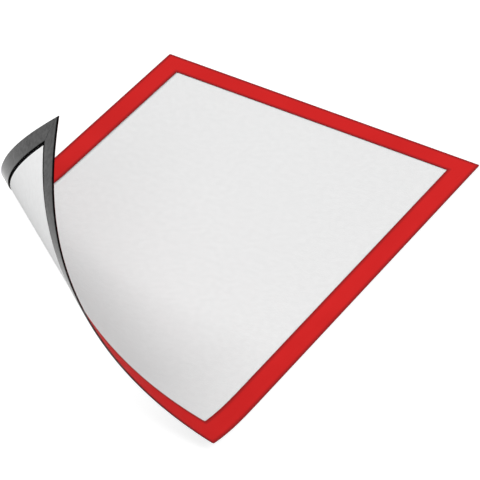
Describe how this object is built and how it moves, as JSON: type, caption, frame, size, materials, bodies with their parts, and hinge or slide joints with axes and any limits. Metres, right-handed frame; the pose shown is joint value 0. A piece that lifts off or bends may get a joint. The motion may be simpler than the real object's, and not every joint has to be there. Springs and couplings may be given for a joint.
{
  "type": "magnetic display frame",
  "caption": "Flat magnetic display frame for an A4 sheet, with a window film in a red border, magnet strips behind, and one corner curled up.",
  "frame": {"origin": "middle of the frame, on the plane of the magnet strips' back faces, where the part rests; the curled corner rises above that plane", "axes": "+Z out of the window, away from the surface that the frame rests on; +Y along the long side, from the curled end to the flat end; +X along the short side, from the curled left corner to the right"},
  "size_m": [0.2403, 0.3264, 0.1176],
  "materials": {
    "border_film": "satin red film, black on its reverse",
    "window_film": "clear film with an anti-glare face",
    "insert_sheet": "plain white paper",
    "adhesive_tape": "pale transfer tape",
    "magnet_strip": "calendered dark grey magnetic rubber with black cut edges"
  },
  "bodies": {
    "root": {"border_film": "border_film", "window_film": "window_film", "insert_sheet": "insert_sheet", "adhesive_tape_top": "adhesive_tape", "adhesive_tape_bottom": "adhesive_tape", "adhesive_tape_left": "adhesive_tape", "adhesive_tape_right": "adhesive_tape", "magnet_strip_top": "magnet_strip", "magnet_strip_bottom": "magnet_strip", "magnet_strip_left": "magnet_strip", "magnet_strip_right": "magnet_strip"}
  },
  "joints": []
}
